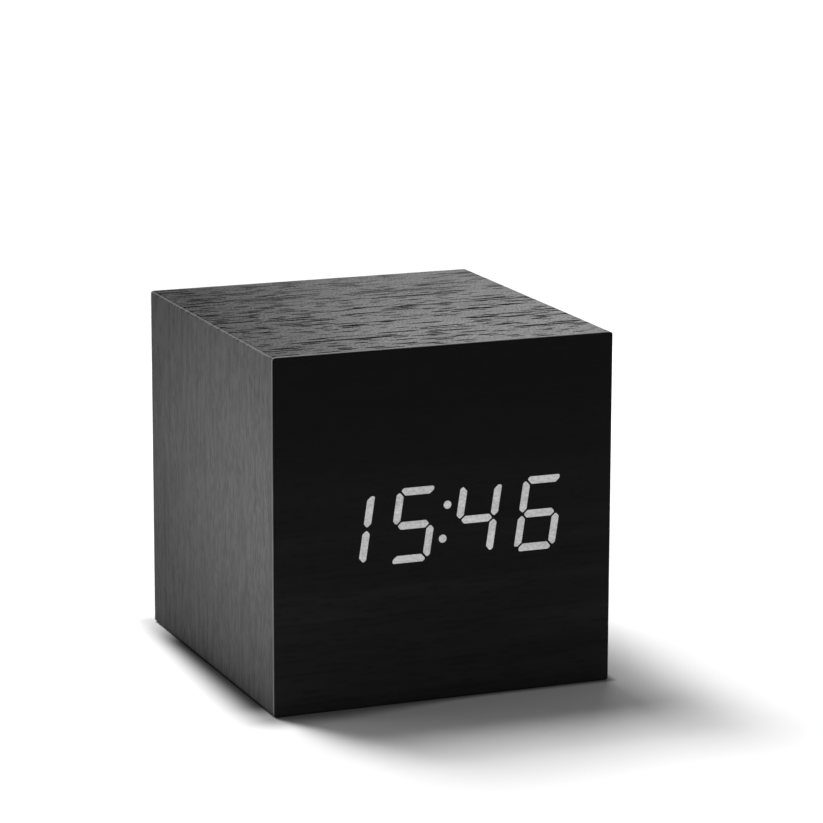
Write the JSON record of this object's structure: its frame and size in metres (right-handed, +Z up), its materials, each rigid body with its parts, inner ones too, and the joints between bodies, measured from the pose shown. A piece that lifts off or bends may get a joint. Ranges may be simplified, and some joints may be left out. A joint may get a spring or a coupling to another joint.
{
  "type": "digital alarm clock",
  "caption": "Cube-shaped wooden digital alarm clock: black veneered case, LED time shining through the front, rear push buttons and power socket, hinged battery door below.",
  "frame": {"origin": "middle of the underside, on the surface that the clock stands on", "axes": "+Z up, the display faces -Y, +X to the right as seen from the front"},
  "size_m": [0.068, 0.071, 0.068],
  "materials": {
    "veneer": "satin black-stained open-grain veneer",
    "front_veneer": "satin black-stained veneer",
    "fibreboard": "black-dyed fibreboard",
    "reflector": "matt white",
    "lit_filling": "clear filling, lit white",
    "unlit_filling": "clear filling, unlit",
    "led": "phosphor",
    "circuit_board": "green solder mask",
    "steel": "zinc plated",
    "nickel": "nickel plated",
    "cover_plastic": "fine moulded texture, black",
    "button_plastic": "smooth dark grey",
    "socket_plastic": "moulded black",
    "part_plastic": "moulded black",
    "pale_plastic": "natural nylon",
    "ribbon": "grey flat cable",
    "blue_sleeve": "shrunk sleeve",
    "epoxy": "dipped bead",
    "ceramic": "fired ceramic",
    "red_lead": "insulated wire",
    "black_lead": "insulated wire",
    "cell_can": "printed sleeve on a metal can"
  },
  "bodies": {
    "case": {"veneer_wrap": "veneer", "front_veneer": "front_veneer", "rear_veneer": "veneer", "top_board": "fibreboard", "bottom_board": "fibreboard", "left_board": "fibreboard", "right_board": "fibreboard", "front_board": "fibreboard", "rear_board": "fibreboard", "display_housing": "reflector", "lit_segments": "lit_filling", "unlit_segments": "unlit_filling", "led_chips": "led", "display_board": "circuit_board", "display_pins": "nickel", "display_spacers": "pale_plastic", "display_screws": "steel", "display_connector": "pale_plastic", "ribbon_cable": "ribbon", "rear_cover": "cover_plastic", "rear_cover_screws": "steel", "main_board": "circuit_board", "board_screws": "steel", "switch_bodies": "part_plastic", "power_socket": "socket_plastic", "socket_pin": "nickel", "buzzer": "part_plastic", "microphone": "nickel", "temperature_sensor": "epoxy", "controller_chip": "part_plastic", "crystal": "nickel", "capacitor": "blue_sleeve", "chip_parts": "ceramic", "main_connector": "pale_plastic", "lead_connector": "pale_plastic", "positive_lead": "red_lead", "negative_lead": "black_lead", "battery_tray": "cover_plastic", "tray_screws": "steel", "aaa_cells": "cell_can", "battery_springs": "nickel", "contact_plates": "nickel"},
    "set_key": {"set_button": "button_plastic", "set_plunger": "pale_plastic"},
    "up_key": {"up_button": "button_plastic", "up_plunger": "pale_plastic"},
    "down_key": {"down_button": "button_plastic", "down_plunger": "pale_plastic"},
    "door": {"battery_door": "cover_plastic"}
  },
  "joints": [
    {"name": "set_press", "type": "slide", "parent": "case", "child": "set_key", "axis": [0, -1, 0], "range_m": [0, 0.0005], "stiffness_N_per_m": 3000},
    {"name": "up_press", "type": "slide", "parent": "case", "child": "up_key", "axis": [0, -1, 0], "range_m": [0, 0.0005], "stiffness_N_per_m": 3000},
    {"name": "down_press", "type": "slide", "parent": "case", "child": "down_key", "axis": [0, -1, 0], "range_m": [0, 0.0005], "stiffness_N_per_m": 3000},
    {"name": "door_hinge", "type": "hinge", "parent": "case", "child": "door", "pos_m": [0, -0.0164, 0.0014], "axis": [-1, 0, 0], "range_deg": [0, 90]}
  ]
}
